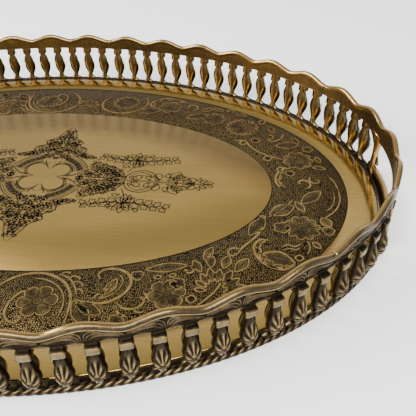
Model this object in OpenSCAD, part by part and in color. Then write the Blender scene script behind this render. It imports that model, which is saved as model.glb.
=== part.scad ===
// Oval brass serving tray: a sheet pan inside a pierced cast gallery.
// Millimetres. +Z is up, z = 0 is the table, the long axis is X and the origin
// is under the middle of the pan.

/* [Pan] */
// Length of the pan, edge to edge along the long axis
pan_length = 580; // [400:5:700]
// Width of the pan, edge to edge across the short axis
pan_width = 406; // [280:5:500]
// Height of the pan's upper face above the table
pan_top = 5; // [4.6:0.1:8]
// Thickness of the pan's sheet
pan_sheet = 1.2; // [0.8:0.1:1.3]
// Depth of the turned-down edge, the sheet included
pan_edge_depth = 1.5; // [1.4:0.1:1.8]

/* [Gallery] */
// Balusters' spaces in one casting
pitches = 15; // [13:2:17]
// Gap at each joint between two castings, filled with solder
joint_gap = 1.2; // [0.6:0.1:2]
// How far the gallery sits round from the long axis, measured along it
gallery_shift = -11.2; // [-18:0.2:18]
// Clear gap between the pan's edge and the gallery's base
pan_gap = 0.7; // [0.3:0.1:1.5]
// Distance of the gallery's smooth inner face outside the pan's edge
face_out = 3; // [2.4:0.1:4]
// Thickness of the pierced wall
wall = 3.9; // [3:0.1:5]

/* [Rail] */
// Height of the rail's lower edge above the pan
rail_bottom = 37.2; // [30:0.2:42]
// Height of the scallops' crests above the pan
crest_height = 52.3; // [47:0.1:60]
// Height of the scallops' troughs above the pan
trough_height = 47; // [44:0.1:55]
// Scallops on one casting
scallops = 6; // [4:2:8]
// Thickness of the band under the roll
band = 3; // [2.4:0.1:3.6]
// Width of the half-round roll along the rail's top
roll_width = 5.4; // [4.8:0.1:6.4]

/* [Base] */
// Width of the rope moulding round the foot
rope_width = 5.3; // [4.6:0.1:6]
// Height of the rope moulding
rope_height = 5; // [4.6:0.1:5.4]
// Height of the ledge above the pan
ledge_rise = 0.4; // [0.3:0.1:1]
// Width of the ledge between the pan's edge and the rope moulding
ledge_width = 2.5; // [2:0.1:3]

/* [Handles] */
// Half the length of a hand hole at its top and foot, in pitches
hand_half = 2.2; // [1.8:0.05:2.3]
// How much further the hand hole reaches at half its height, in pitches
hand_bulge = 0.35; // [0.1:0.05:0.45]
// Height of the base rail under a hand hole, above the pan
hand_sill = 8; // [5:0.5:10]
// Height of the rail's lower edge over a hand hole, above the pan
hand_top = 33; // [28:0.5:35]

/* [Fixings] */
// Lugs, studs and nuts on each casting
studs_per_casting = 4; // [3:1:5]
// Diameter of a stud under the pan
stud_d = 3; // [2.5:0.1:3.5]
// Clearance of a stud in its lug's hole, on the diameter
stud_clearance = 0.3; // [0.2:0.1:0.6]
// Distance of a stud inside the pan's edge
stud_in = 7; // [6:0.5:9]
// Thickness of a lug
lug_thick = 1.2; // [1:0.1:1.4]
// Thickness of a nut
nut_thick = 1.6; // [1.4:0.1:1.8]
// Size of a nut across its flats
nut_flats = 5.5; // [5:0.1:6]

/* [Hidden] */
// Castings round the oval: one with a hand hole at each end, two along each side
castings = 6;
half_l = pan_length / 2;
half_w = pan_width / 2;
brass = [0.72, 0.58, 0.33];
bronze = [0.36, 0.29, 0.17];
steel_grey = [0.66, 0.66, 0.62];

// The pan's outline, and curves a fixed distance outside it
function at(t, out) =
    let (n = [half_w * cos(t), half_l * sin(t)])
    [half_l * cos(t), half_w * sin(t)] + out * n / norm(n);
function out_angle(t) = atan2(half_l * sin(t), half_w * cos(t));

// Length along the middle of the wall, from the right end, anticlockwise
wall_mid = face_out + wall / 2;
function step_after(t) = norm(at(t + 1, wall_mid) - at(t, wall_mid));
arc_table = [for (t = -1, s = 0; t <= 361; s = s + step_after(t), t = t + 1) [s, t]];
arc_start = arc_table[1][0];
round_length = arc_table[361][0] - arc_start;
function turn_of(s) =
    let (whole = floor(s / round_length))
    lookup(s - whole * round_length + arc_start, arc_table) + 360 * whole;

pitch = (round_length / castings - joint_gap) / pitches;
function casting_mid(k) = gallery_shift + k * round_length / castings;
half_casting = pitches * pitch / 2;
scallop = pitches * pitch / scallops;

// One named place along the gallery: x runs along it, y points outwards
module along(s) {
    t = turn_of(s);
    translate(concat(at(t, 0), 0))
        rotate(out_angle(t) - 90)
            children();
}

// A strip of the gallery's plan between two lengths and two distances out
function strip(s0, s1, out0, out1, steps) = concat(
    [for (i = [0:steps]) at(turn_of(s0 + (s1 - s0) * i / steps), out1)],
    [for (i = [steps:-1:0]) at(turn_of(s0 + (s1 - s0) * i / steps), out0)]);
module wall_strip(s0, s1, out0, out1, z0, z1, steps = 30)
    translate([0, 0, z0])
        linear_extrude(z1 - z0)
            polygon(strip(s0, s1, out0, out1, steps));

// Outline of a baluster: half-width as a share of the pitch, and height as a share of the opening
BALUSTER = [
    [0.33, -0.02], [0.32, 0.02], [0.20, 0.045], [0.15, 0.08], [0.15, 0.13],
    [0.095, 0.17], [0.09, 0.22], [0.125, 0.29], [0.20, 0.40], [0.28, 0.52],
    [0.30, 0.60], [0.26, 0.71], [0.16, 0.84], [0.15, 0.86], [0.205, 0.875],
    [0.22, 0.925], [0.205, 0.97], [0.19, 0.98], [0.21, 0.995], [0.33, 1.03]];
BODY_FIRST = 5;
BODY_LAST = 17;
opening_z0 = pan_top + ledge_rise;
opening_z1 = pan_top + rail_bottom;
function outline_point(p, shrink) =
    [p[0] * pitch - shrink, opening_z0 + p[1] * (opening_z1 - opening_z0)];
// How far the round body's axis stands inside the wall's outer face
body_bite = 0.1;
// The balusters' inner face stands back from the rail's
face_step = 0.15;
// The round body's outline lies inside the flat one's
body_inset = 0.08;

module baluster(s) {
    side = [for (p = BALUSTER) outline_point(p, 0)];
    round_side = [for (i = [BODY_FIRST:BODY_LAST]) outline_point(BALUSTER[i], body_inset)];
    round_foot = [0, round_side[0][1]];
    round_head = [0, round_side[len(round_side) - 1][1]];
    other_side = [for (i = [len(side) - 1:-1:0]) [-side[i][0], side[i][1]]];
    along(s) {
        translate([0, face_out + wall, 0])
            rotate([90, 0, 0])
                linear_extrude(wall - face_step)
                    polygon(concat(side, other_side));
        translate([0, face_out + wall - body_bite, 0])
            rotate_extrude(angle = 180, $fn = 48)
                polygon(concat([round_foot], round_side, [round_head]));
    }
}

// Height of the rail's top at a distance d from a trough
function rail_top(d) =
    let (wave = 0.5 - 0.5 * cos(360 * d / scallop))
    pan_top + trough_height + (crest_height - trough_height) * pow(wave, 0.8);
// Section of the rail, from its inner lower edge, given its top and its lower edge
function rail_section(top, low) = [
    [face_out, low],
    [face_out + band, low],
    [face_out + band, top - 6],
    [face_out + roll_width - 0.8, top - 4.5],
    [face_out + roll_width - 0.4, top - 2.6],
    [face_out + roll_width - 1.5, top - 0.6],
    [face_out + roll_width / 2 - 0.4, top],
    [face_out + 0.4, top - 0.8],
    [face_out - 0.4, top - 2.6],
    [face_out, top - 4.2]];
// Rings in one pitch of the swept rail
RAIL_STEPS = 4;
// How far past a hand hole the rail keeps its deeper band, in pitches
DEEP_PAST = 0.4;

// The rail of one casting, swept along the gallery
module rail(mid, handle) {
    deep = handle ? (hand_half + DEEP_PAST) * pitch : 0;
    rings = pitches * RAIL_STEPS;
    sides = len(rail_section(1, 0));
    points = [for (i = [0:rings])
        let (d = (i / rings - 0.5) * 2 * half_casting, t = turn_of(mid + d))
        for (q = rail_section(rail_top(d), pan_top + (abs(d) < deep ? hand_top : rail_bottom)))
            concat(at(t, q[0]), q[1])];
    skin = [for (i = [0:rings - 1])
        for (j = [0:sides - 1])
            let (k = (j + 1) % sides)
            [i * sides + j, i * sides + k, (i + 1) * sides + k, (i + 1) * sides + j]];
    polyhedron(points, concat(
        skin,
        [[for (j = [sides - 1:-1:0]) j]],
        [[for (j = [0:sides - 1]) rings * sides + j]]), convexity = 8);
}

// The foot: rope moulding outside, ledge inside
rope_in = pan_gap + ledge_width;
rope_out = rope_in + rope_width;
rope_round_out = 1.4;
rope_round_up = 1.1;
ledge_lap = 3;
ledge_under = 0.4;
module foot(mid) {
    s0 = mid - half_casting;
    s1 = mid + half_casting;
    wall_strip(s0, s1, rope_in, rope_out - rope_round_out, 0, rope_height);
    wall_strip(s0, s1, rope_in + rope_round_out, rope_out, rope_round_up, rope_height - rope_round_up);
    wall_strip(s0, s1, pan_gap, rope_in + ledge_lap, lug_z0 + ledge_under, pan_top + ledge_rise);
}

// Lugs under the pan's edge, with holes for its studs
lug_z1 = pan_top - pan_edge_depth;
lug_z0 = lug_z1 - lug_thick;
lug_wide = 9;
lug_lap = 2.3;
function stud_at(k, i) = casting_mid(k) + ((i + 0.5) / studs_per_casting - 0.5) * 2 * half_casting;
module lugs(k)
    for (i = [0:studs_per_casting - 1])
        along(stud_at(k, i))
            difference() {
                translate([-lug_wide / 2, -stud_in - lug_wide / 2, lug_z0])
                    cube([lug_wide, stud_in + lug_wide / 2 + pan_gap + lug_lap, lug_thick]);
                translate([0, -stud_in, lug_z0 - 1])
                    cylinder(d = stud_d + stud_clearance, h = lug_thick + 2, $fn = 48);
            }

module side_casting(k)
    color(bronze)
        union() {
            foot(casting_mid(k));
            rail(casting_mid(k), false);
            for (i = [-(pitches - 1) / 2:(pitches - 1) / 2])
                baluster(casting_mid(k) + i * pitch);
            lugs(k);
        }

// Width of the post beside a hand hole at its foot and at its top, in pitches
POST_WIDE = 0.75;
POST_TOP_WIDE = 1.45;
// Height of the upright part at the top of the post's flared side
post_flare = 2.6;
// How far the post runs into the foot and into the rail
post_in_foot = 0.2;
post_in_rail = 4.4;

// A post beside a hand hole: its side towards the hole curves back at half height
module hand_post(mid, side) {
    hole = hand_half * pitch;
    bulge = hand_bulge * pitch;
    outer = hole + POST_WIDE * pitch;
    low = pan_top - post_in_foot;
    high = pan_top + hand_top + post_in_rail;
    steps = 8;
    curve = [for (i = [0:steps]) [hole + bulge * sin(180 * i / steps), low + (high - low) * i / steps]];
    back = [
        [hole + POST_TOP_WIDE * pitch, high],
        [hole + POST_TOP_WIDE * pitch, pan_top + rail_bottom - post_flare],
        [outer, pan_top + rail_bottom / 2],
        [outer, low]];
    along(mid + side * outer)
        translate([0, face_out + wall, 0])
            rotate([90, 0, 0])
                linear_extrude(wall - face_step)
                    polygon([for (p = concat(curve, back)) [side * (outer - p[0]), p[1]]]);
}

// The wall under a hand hole stands back from both faces of the posts
sill_step = 0.3;

module handle_casting(k)
    color(bronze)
        union() {
            mid = casting_mid(k);
            outer = (hand_half + POST_WIDE) * pitch;
            sill_z0 = pan_top - 2 * post_in_foot;
            foot(mid);
            rail(mid, true);
            wall_strip(mid - outer, mid + outer, face_out + sill_step, face_out + wall - sill_step,
                sill_z0, pan_top + hand_sill, 12);
            for (side = [-1, 1]) {
                hand_post(mid, side);
                for (i = [4:(pitches - 1) / 2])
                    baluster(mid + side * i * pitch);
            }
            lugs(k);
        }

// The pan: flat sheet with its edge turned down
PAN_CORNERS = 180;
module oval(out)
    polygon([for (i = [0:PAN_CORNERS - 1]) at(i * 360 / PAN_CORNERS, out)]);
module pan()
    color(brass)
        difference() {
            translate([0, 0, lug_z1])
                linear_extrude(pan_edge_depth)
                    oval(0);
            translate([0, 0, lug_z1 - 1])
                linear_extrude(pan_edge_depth - pan_sheet + 1)
                    oval(-pan_sheet);
        }

// Threaded studs brazed under the pan, one through each lug
stud_foot = 0.4;
module pan_studs()
    color(brass)
        for (k = [0:castings - 1])
            for (i = [0:studs_per_casting - 1])
                along(stud_at(k, i))
                    translate([0, -stud_in, stud_foot])
                        cylinder(d = stud_d, h = pan_top - pan_sheet - stud_foot, $fn = 48);

module stud_nuts()
    color(steel_grey)
        for (k = [0:castings - 1])
            for (i = [0:studs_per_casting - 1])
                along(stud_at(k, i))
                    translate([0, -stud_in, lug_z0 - nut_thick])
                        difference() {
                            cylinder(d = nut_flats / cos(30), h = nut_thick, $fn = 6);
                            translate([0, 0, -1])
                                cylinder(d = stud_d, h = nut_thick + 2, $fn = 48);
                        }

// Solder that closes the gap between two castings, at the foot and in the rail
solder_in = 0.4;
solder_shy = 2.4;
solder_z0 = 1.6;
solder_below = 3;
module joint_solder()
    color(steel_grey)
        for (k = [0:castings - 1]) {
            s0 = casting_mid(k) + half_casting;
            s1 = s0 + joint_gap;
            wall_strip(s0, s1, pan_gap + solder_in, rope_out - solder_shy,
                solder_z0, pan_top + ledge_rise - solder_in, 1);
            wall_strip(s0, s1, face_out + solder_in, face_out + band - solder_in,
                opening_z1 + solder_in, pan_top + trough_height - solder_below, 1);
        }

pan();
handle_casting(0);  // right_handle_casting
side_casting(1);  // back_right_casting
side_casting(2);  // back_left_casting
handle_casting(3);  // left_handle_casting
side_casting(4);  // front_left_casting
side_casting(5);  // front_right_casting
joint_solder();
pan_studs();
stud_nuts();
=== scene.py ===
"""Oval brass serving tray: a chased sheet pan inside a pierced cast gallery, dressed for rendering."""

import math
from functools import partial

import bmesh
import bpy
import numpy as np
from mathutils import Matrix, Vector


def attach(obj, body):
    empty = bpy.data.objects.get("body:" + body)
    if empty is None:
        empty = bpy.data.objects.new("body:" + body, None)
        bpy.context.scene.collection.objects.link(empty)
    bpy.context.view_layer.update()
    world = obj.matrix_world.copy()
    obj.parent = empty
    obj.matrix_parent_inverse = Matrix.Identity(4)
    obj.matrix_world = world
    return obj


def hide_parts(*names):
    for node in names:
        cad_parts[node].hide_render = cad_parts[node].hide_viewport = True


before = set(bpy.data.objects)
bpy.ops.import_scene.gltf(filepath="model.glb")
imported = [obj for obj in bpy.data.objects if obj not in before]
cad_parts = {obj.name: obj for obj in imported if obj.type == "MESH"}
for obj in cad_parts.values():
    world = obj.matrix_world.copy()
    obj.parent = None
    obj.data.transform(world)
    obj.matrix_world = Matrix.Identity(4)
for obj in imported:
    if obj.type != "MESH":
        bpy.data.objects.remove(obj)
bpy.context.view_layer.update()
MM = 0.001

# ---------------------------------------------------------------- the pan's sheet
# The real pan is one oval sheet of rolled brass. Its face is brushed along the long
# axis, its rim is turned down, and it rests on lugs inside the gallery.
PAN_HALF_LENGTH = 290.0
PAN_HALF_WIDTH = 203.0
PAN_FACE = 5.0
PAN_UNDERSIDE = 3.8
PAN_RIM_FOOT = 3.5
PAN_SEGMENTS = 360
# The chased band lies between two ovals
BAND_INNER = (201.2, 115.8)
BAND_OUTER = (265.3, 176.2)
BAND_DEPTH = 0.25
BORDER_CUT = 0.7
BORDER_DEPTH = 1.6 * BAND_DEPTH


def oval_point(turn, out=0.0):
    """Plan position, in millimetres, a distance outside the pan's edge."""
    nx, ny = PAN_HALF_WIDTH * np.cos(turn), PAN_HALF_LENGTH * np.sin(turn)
    n = np.hypot(nx, ny)
    return (
        PAN_HALF_LENGTH * np.cos(turn) + out * nx / n,
        PAN_HALF_WIDTH * np.sin(turn) + out * ny / n,
    )


def build_mesh(name, verts_mm, faces, face_material=None, smooth=True):
    mesh = bpy.data.meshes.new(name)
    mesh.from_pydata((np.asarray(verts_mm, float) * MM).tolist(), [], faces)
    mesh.update()
    if face_material is not None:
        mesh.polygons.foreach_set("material_index", np.asarray(face_material, np.int32))
    mesh.polygons.foreach_set("use_smooth", np.full(len(mesh.polygons), smooth))
    return mesh


def add_piece(name, mesh, materials, stands_for=()):
    """Puts a finished piece of the tray in the scene, on the tray's one body."""
    for material in materials:
        mesh.materials.append(material)
    piece = bpy.data.objects.new(name, mesh)
    bpy.context.scene.collection.objects.link(piece)
    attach(piece, "root")
    if stands_for:
        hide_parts(*stands_for)
    return piece


def new_metal(name):
    """A material with its shader and the nodes that place a pattern on the piece."""
    material = bpy.data.materials.new(name)
    material.use_nodes = True
    nodes = material.node_tree.nodes
    shader = nodes["Principled BSDF"]
    shader.inputs["Metallic"].default_value = 1.0
    place = nodes.new("ShaderNodeTexCoord")
    return material, nodes, material.node_tree.links, shader, place.outputs["Object"]


def pattern(nodes, links, where, kind, stretch, **values):
    """A procedural pattern at a given scale along each axis."""
    mapping = nodes.new("ShaderNodeMapping")
    mapping.inputs["Scale"].default_value = stretch
    links.new(where, mapping.inputs["Vector"])
    texture = nodes.new(kind)
    links.new(mapping.outputs["Vector"], texture.inputs["Vector"])
    for key, value in values.items():
        if key in texture.inputs:
            texture.inputs[key].default_value = value
        else:
            setattr(texture, key, value)
    return texture


def ramp(nodes, links, source, stops):
    """Colours or greys laid along a value."""
    node = nodes.new("ShaderNodeValToRGB")
    band = node.color_ramp
    while len(band.elements) < len(stops):
        band.elements.new(0.5)
    for element, (at, colour) in zip(band.elements, stops):
        element.position = at
        element.color = (*colour, 1.0) if len(colour) == 3 else colour
    links.new(source, node.inputs["Fac"])
    return node.outputs["Color"]


def mixed(nodes, links, factor, first, second, how="MIX"):
    node = nodes.new("ShaderNodeMix")
    node.data_type = "RGBA"
    node.blend_type = how
    for socket, value in (("Factor", factor), ("A", first), ("B", second)):
        target = next(s for s in node.inputs if s.name == socket and s.enabled)
        if isinstance(value, bpy.types.NodeSocket):
            links.new(value, target)
        else:
            target.default_value = value
    return next(s for s in node.outputs if s.enabled)


def bumped(nodes, links, shader, height, distance, strength=1.0):
    bump = nodes.new("ShaderNodeBump")
    bump.inputs["Strength"].default_value = strength
    bump.inputs["Distance"].default_value = distance
    links.new(height, bump.inputs["Height"])
    links.new(bump.outputs["Normal"], shader.inputs["Normal"])


def noise(nodes, links, where, stretch, detail, **more):
    """Cloudy noise at a given fineness along each axis."""
    kind = "ShaderNodeTexNoise"
    return pattern(nodes, links, where, kind, stretch, Scale=1.0, Detail=detail, **more).outputs["Fac"]


def grey_stops(*stops):
    return [(at, (grey,) * 3) for at, grey in stops]


def brushed_brass(name, rough_low, rough_high):
    """Plain brass, brushed along the tray, faintly clouded with age."""
    material, nodes, links, shader, where = new_metal(name)
    brushing = noise(nodes, links, where, (14, 1500, 1500), 4.0)
    clouding = noise(nodes, links, where, (5, 11, 11), 5.0, Roughness=0.6)
    base = ramp(nodes, links, clouding, [(0.32, DULL_BRASS), (0.68, CLEAN_BRASS)])
    streak = ramp(nodes, links, brushing, grey_stops((0.3, 0.88), (0.7, 1.06)))
    links.new(mixed(nodes, links, 1.0, base, streak, "MULTIPLY"), shader.inputs["Base Color"])
    rough = ramp(nodes, links, clouding, grey_stops((0.3, rough_high), (0.7, rough_low)))
    links.new(rough, shader.inputs["Roughness"])
    bumped(nodes, links, shader, brushing, 0.00006, 0.35)
    return material


def matted_ground():
    """The chased ground: small punched pebbles, worn bright, with dark oxide between them."""
    material, nodes, links, shader, where = new_metal("matted_ground")
    pebbles = pattern(nodes, links, where, "ShaderNodeTexVoronoi", PEBBLE_FINENESS, Scale=1.0,
        Randomness=0.75, feature="DISTANCE_TO_EDGE").outputs["Distance"]
    patches = noise(nodes, links, where, (30, 30, 30), 4.0)
    punched = ramp(nodes, links, pebbles, [(0.07, OXIDE), (0.16, (0.05, 0.035, 0.015)),
        (0.27, (0.33, 0.225, 0.08))])
    tone = ramp(nodes, links, patches, [(0.35, (0.72, 0.72, 0.74)), (0.65, (1.0, 1.0, 1.0))])
    links.new(mixed(nodes, links, 1.0, punched, tone, "MULTIPLY"), shader.inputs["Base Color"])
    shader.inputs["Roughness"].default_value = 0.48
    bumped(nodes, links, shader, pebbles, 0.0006, 0.8)
    return material


def grained_metal(name, fineness, detail, stops, rough, depth, strength, metallic=1.0):
    """A metal whose colour and small bumps follow the same noise."""
    material, nodes, links, shader, where = new_metal(name)
    grain = noise(nodes, links, where, (fineness,) * 3, detail)
    links.new(ramp(nodes, links, grain, stops), shader.inputs["Base Color"])
    shader.inputs["Metallic"].default_value = metallic
    shader.inputs["Roughness"].default_value = rough
    bumped(nodes, links, shader, grain, depth, strength)
    return material


def cut_line(name, dark, light):
    """The floor of a cut line, filled with dark oxide."""
    return grained_metal(name, 260, 3.0, [(0.35, dark), (0.75, light)], 0.6, 0.0002, 0.4, 0.85)


DULL_BRASS, CLEAN_BRASS = (0.375, 0.245, 0.069), (0.475, 0.312, 0.09)
OXIDE = (0.008, 0.006, 0.004)
PEBBLE_FINENESS = (680, 680, 680)
SATIN_BRASS = brushed_brass("satin_brushed_brass", 0.30, 0.38)
MARGIN_BRASS = brushed_brass("polished_margin_brass", 0.15, 0.20)
MATTED_GROUND = matted_ground()
CUT_LINE = cut_line("cut_line_oxide", (0.012, 0.009, 0.005), (0.035, 0.025, 0.012))

# Each ring is its half axes, its height and the finish of the surface inside it
PLAIN, GROUND, CUT, MARGIN = 0, 1, 2, 3


def ring(axes, height, inwards=0.0):
    return (axes[0] - inwards, axes[1] - inwards, height)


PAN_EDGE = (PAN_HALF_LENGTH, PAN_HALF_WIDTH)
pan_rings = [
    (ring(PAN_EDGE, PAN_UNDERSIDE, 1.3), PLAIN),
    (ring(PAN_EDGE, PAN_RIM_FOOT, 1.2), PLAIN),
    (ring(PAN_EDGE, PAN_RIM_FOOT, 0.1), PLAIN),
    (ring(PAN_EDGE, PAN_RIM_FOOT + 0.3, 0.0), PLAIN),
    (ring(PAN_EDGE, PAN_FACE - 0.6, 0.1), MARGIN),
    (ring(PAN_EDGE, PAN_FACE - 0.2, 0.45), MARGIN),
    (ring(PAN_EDGE, PAN_FACE - 0.03, 1.0), MARGIN),
    (ring(PAN_EDGE, PAN_FACE, 1.8), MARGIN),
    (ring(BAND_OUTER, PAN_FACE), MARGIN),
    (ring(BAND_OUTER, PAN_FACE - BORDER_DEPTH, 0.25), CUT),
    (ring(BAND_OUTER, PAN_FACE - BORDER_DEPTH, BORDER_CUT), CUT),
    (ring(BAND_OUTER, PAN_FACE - BAND_DEPTH, BORDER_CUT + 0.2), GROUND),
    (ring(BAND_INNER, PAN_FACE - BAND_DEPTH, -BORDER_CUT - 0.2), GROUND),
    (ring(BAND_INNER, PAN_FACE - BORDER_DEPTH, -BORDER_CUT), CUT),
    (ring(BAND_INNER, PAN_FACE - BORDER_DEPTH, -0.25), CUT),
    (ring(BAND_INNER, PAN_FACE), CUT),
    (ring((130.0, 66.0), PAN_FACE), PLAIN),
    (ring((60.0, 26.0), PAN_FACE), PLAIN),
]
turns = np.arange(PAN_SEGMENTS) * 2 * math.pi / PAN_SEGMENTS
pan_verts = np.concatenate([
    np.stack([rx * np.cos(turns), ry * np.sin(turns), np.full(PAN_SEGMENTS, z)], 1)
    for (rx, ry, z), _ in pan_rings
] + [np.array([[0, 0, PAN_UNDERSIDE], [0, 0, PAN_FACE]])])
pan_faces, pan_finish = [], []
for k in range(len(pan_rings) - 1):
    for i in range(PAN_SEGMENTS):
        j = (i + 1) % PAN_SEGMENTS
        a, b = k * PAN_SEGMENTS, (k + 1) * PAN_SEGMENTS
        pan_faces.append((a + i, a + j, b + j, b + i))
        pan_finish.append(pan_rings[k + 1][1])
last = (len(pan_rings) - 1) * PAN_SEGMENTS
for i in range(PAN_SEGMENTS):
    j = (i + 1) % PAN_SEGMENTS
    pan_faces.append((j, i, len(pan_verts) - 2))
    pan_faces.append((last + i, last + j, len(pan_verts) - 1))
    pan_finish += [PLAIN, PLAIN]
pan_mesh = build_mesh("pan_sheet", pan_verts, pan_faces, pan_finish)
PAN_METALS = [SATIN_BRASS, MATTED_GROUND, CUT_LINE, MARGIN_BRASS]
add_piece("pan_sheet", pan_mesh, PAN_METALS, ["pan"])

# ---------------------------------------------------------------- the chased band
# Flowers, scrolls and leaves are punched up from the sheet round the plain middle.
# They are part of the pan: raised lines with worn tops and dark oxide at their sides.
LINE_TOP = PAN_FACE + 0.06
LINE_FOOT = PAN_FACE - BAND_DEPTH - 0.05
DARK_SIDE = 0.42
FILL_BELOW = 0.06


def smooth_line(points, steps=4, closed=False):
    """A flowing line through a few places."""
    p = np.asarray(points, float)
    if closed:
        p = np.vstack([p[-1:], p, p[:2]])
    else:
        p = np.vstack([2 * p[0] - p[1], p, 2 * p[-1] - p[-2]])
    t = np.linspace(0, 1, steps, endpoint=False)[:, None]
    out = []
    for a, b, c, d in zip(p[:-3], p[1:-2], p[2:-1], p[3:]):
        square, cube = 2 * a - 5 * b + 4 * c - d, 3 * b - a - 3 * c + d
        out.append(0.5 * (2 * b + (c - a) * t + square * t**2 + cube * t**3))
    return np.vstack(out if closed else out + [p[-2:-1]])


def ridge(line, width, foot, top, closed=False, side=DARK_SIDE, filled=False):
    """One raised line: a flat top with a slope down each side. Returns its vertices, faces and finishes."""
    ahead = np.roll(line, -1, 0) - np.roll(line, 1, 0) if closed else np.gradient(line, axis=0)
    ahead = ahead / np.maximum(np.hypot(ahead[:, 0], ahead[:, 1]), 1e-9)[:, None]
    left = np.stack([-ahead[:, 1], ahead[:, 0]], 1)
    n = len(line)
    if closed:
        half = np.full(n, width / 2)
    else:
        share = np.linspace(0, 1, n)
        half = width / 2 * np.clip(np.minimum(share, 1 - share) * 5 + 0.35, 0, 1)
    columns = [(-half - side, foot), (-half, top), (half, top), (half + side, foot)]
    verts = np.stack([
        np.column_stack([line + left * offset[:, None], np.full(n, height)]) for offset, height in columns
    ], 1).reshape(-1, 3)
    faces, finish = [], []
    for i in range(n if closed else n - 1):
        a, b = 4 * i, 4 * ((i + 1) % n)
        for c in range(3):
            faces.append((a + c, b + c, b + c + 1, a + c + 1))
            finish.append(0 if c == 1 else 1)
    if filled:
        middle = line.mean(0)
        left_away, right_away = (np.hypot(*(verts[c, :2] - middle)) for c in (0, 3))
        rim = verts[0 if left_away < right_away else 3::4] * (1, 1, 0) + (0, 0, top - FILL_BELOW)
        verts = np.vstack([verts, rim, [*rim[:, :2].mean(0), top - FILL_BELOW]])
        ahead_is_left = np.cross(rim[0, :2] - middle, rim[1, :2] - middle) > 0
        for i in range(n):
            j = (i + 1) % n
            faces.append((4 * n + i, 4 * n + j, 5 * n) if ahead_is_left else (4 * n + j, 4 * n + i, 5 * n))
            finish.append(2)
    return verts, faces, finish


def cut_in(line, width, closed=False):
    """A dark line cut across a raised leaf or petal."""
    verts, faces, finish = ridge(line, width, LINE_TOP - FILL_BELOW - 0.02, LINE_TOP + 0.02, closed, 0.05)
    return verts, faces, [1] * len(finish)


def gathered(parts):
    """Several bits of mesh as one."""
    verts, faces, finish, start = [], [], [], 0
    for v, f, m in parts:
        verts.append(v)
        faces += [tuple(start + i for i in face) for face in f]
        finish += m
        start += len(v)
    return np.vstack(verts), faces, finish


# A motif is a list of (line, width, kind); it is drawn once at its own size and then placed
LINE, RING, FILLED, CUT_IN = "line", "ring", "filled", "cut in"


def placed(motif, x, y, angle=0.0, size=1.0, flip=False):
    a = math.radians(angle)
    turn = np.array([[math.cos(a), math.sin(a)], [-math.sin(a), math.cos(a)]])
    mirror = np.array([1.0, -1.0 if flip else 1.0])
    return [((line * mirror * size) @ turn + (x, y), width, kind) for line, width, kind in motif]


def drop_leaf(length, half, width=1.1, slot=True):
    """An outlined leaf with a pointed tip, along +x from its stalk."""
    outline = [(0, 0), (0.3, 0.75), (0.6, 0.95), (0.85, 0.5), (1.02, 0), (0.85, -0.5), (0.6, -0.95),
        (0.3, -0.75)]
    line = smooth_line([(x * length, y * half) for x, y in outline], 3, True)
    motif = [(line, width, FILLED if slot else RING)]
    if slot:
        motif.append((np.array([(0.3 * length, 0), (0.5 * length, 0), (0.72 * length, 0)]), 0.9, CUT_IN))
    return motif


def flower(petals, radius, heart, width=1.0, rays=2):
    """A round flower: lobed petals, lines cut on each, and a ring of seeds at its heart."""
    t = np.linspace(0, 2 * math.pi, petals * 8, endpoint=False)
    r = radius * (0.70 + 0.30 * np.abs(np.cos(petals * t / 2)) ** 0.55)
    motif = [(np.stack([r * np.cos(t), r * np.sin(t)], 1), width, FILLED if radius > 4.8 else RING)]
    for k in range(petals):
        between = (k + 0.5) * 2 * math.pi / petals
        axis = np.array([math.cos(between), math.sin(between)])
        crease = np.outer((heart * 1.1, radius * 0.5, radius * 0.74), axis)
        motif.append((crease, 1.1, CUT_IN))
        for i in range(rays):
            ray = k * 2 * math.pi / petals + (i - (rays - 1) / 2) * 0.9 / petals
            axis = np.array([math.cos(ray), math.sin(ray)])
            motif.append((np.outer((radius * 0.42, radius * 0.58, radius * 0.76), axis), 0.6, CUT_IN))
    t = np.linspace(0, 2 * math.pi, 14, endpoint=False)
    motif.append((heart * np.stack([np.cos(t), np.sin(t)], 1), 0.7, CUT_IN + " ring"))
    motif.append((heart * 0.4 * np.stack([np.cos(t[::2]), np.sin(t[::2])], 1), 0.6, CUT_IN + " ring"))
    return motif


def curl(radius, sweep, width=1.5, knob=True):
    """A scroll end: it winds in from (0, 0), heading along +x, and ends in a round knob."""
    t = np.linspace(0, 1, 16)
    r = radius * (1 - 0.62 * t)
    a = -math.pi / 2 + np.radians(sweep) * t
    line = np.stack([r * np.cos(a), radius + r * np.sin(a)], 1)
    motif = [(line, width, LINE)]
    if knob:
        k = np.linspace(0, 2 * math.pi, 8, endpoint=False)
        motif.append((line[-1] + 0.85 * np.stack([np.cos(k), np.sin(k)], 1), 1.1, RING))
    return motif


def feather(length, half, veins, width=1.0):
    """A long leaf with a midrib and slanting veins, along +x."""
    outline = [(0, 0), (0.2, 0.6), (0.5, 1.0), (0.8, 0.62), (1.0, 0), (0.8, -0.62), (0.5, -1.0),
        (0.2, -0.6)]
    motif = [(smooth_line([(x * length, y * half) for x, y in outline], 4, True), width, FILLED)]
    motif.append((np.array([(0.05 * length, 0), (0.5 * length, 0), (0.93 * length, 0)]), 0.8, CUT_IN))
    for k in range(veins):
        x = (0.14 + 0.68 * k / veins) * length
        reach = half * 0.8 * math.sin(math.pi * min(1, (k + 1) / (veins + 1))) ** 0.7
        for s in (-1, 1):
            vein = np.array([(x, 0), (x + 0.6 * reach, s * 0.5 * reach), (x + 1.1 * reach, s * reach)])
            motif.append((vein, 0.7, CUT_IN))
    return motif


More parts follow.
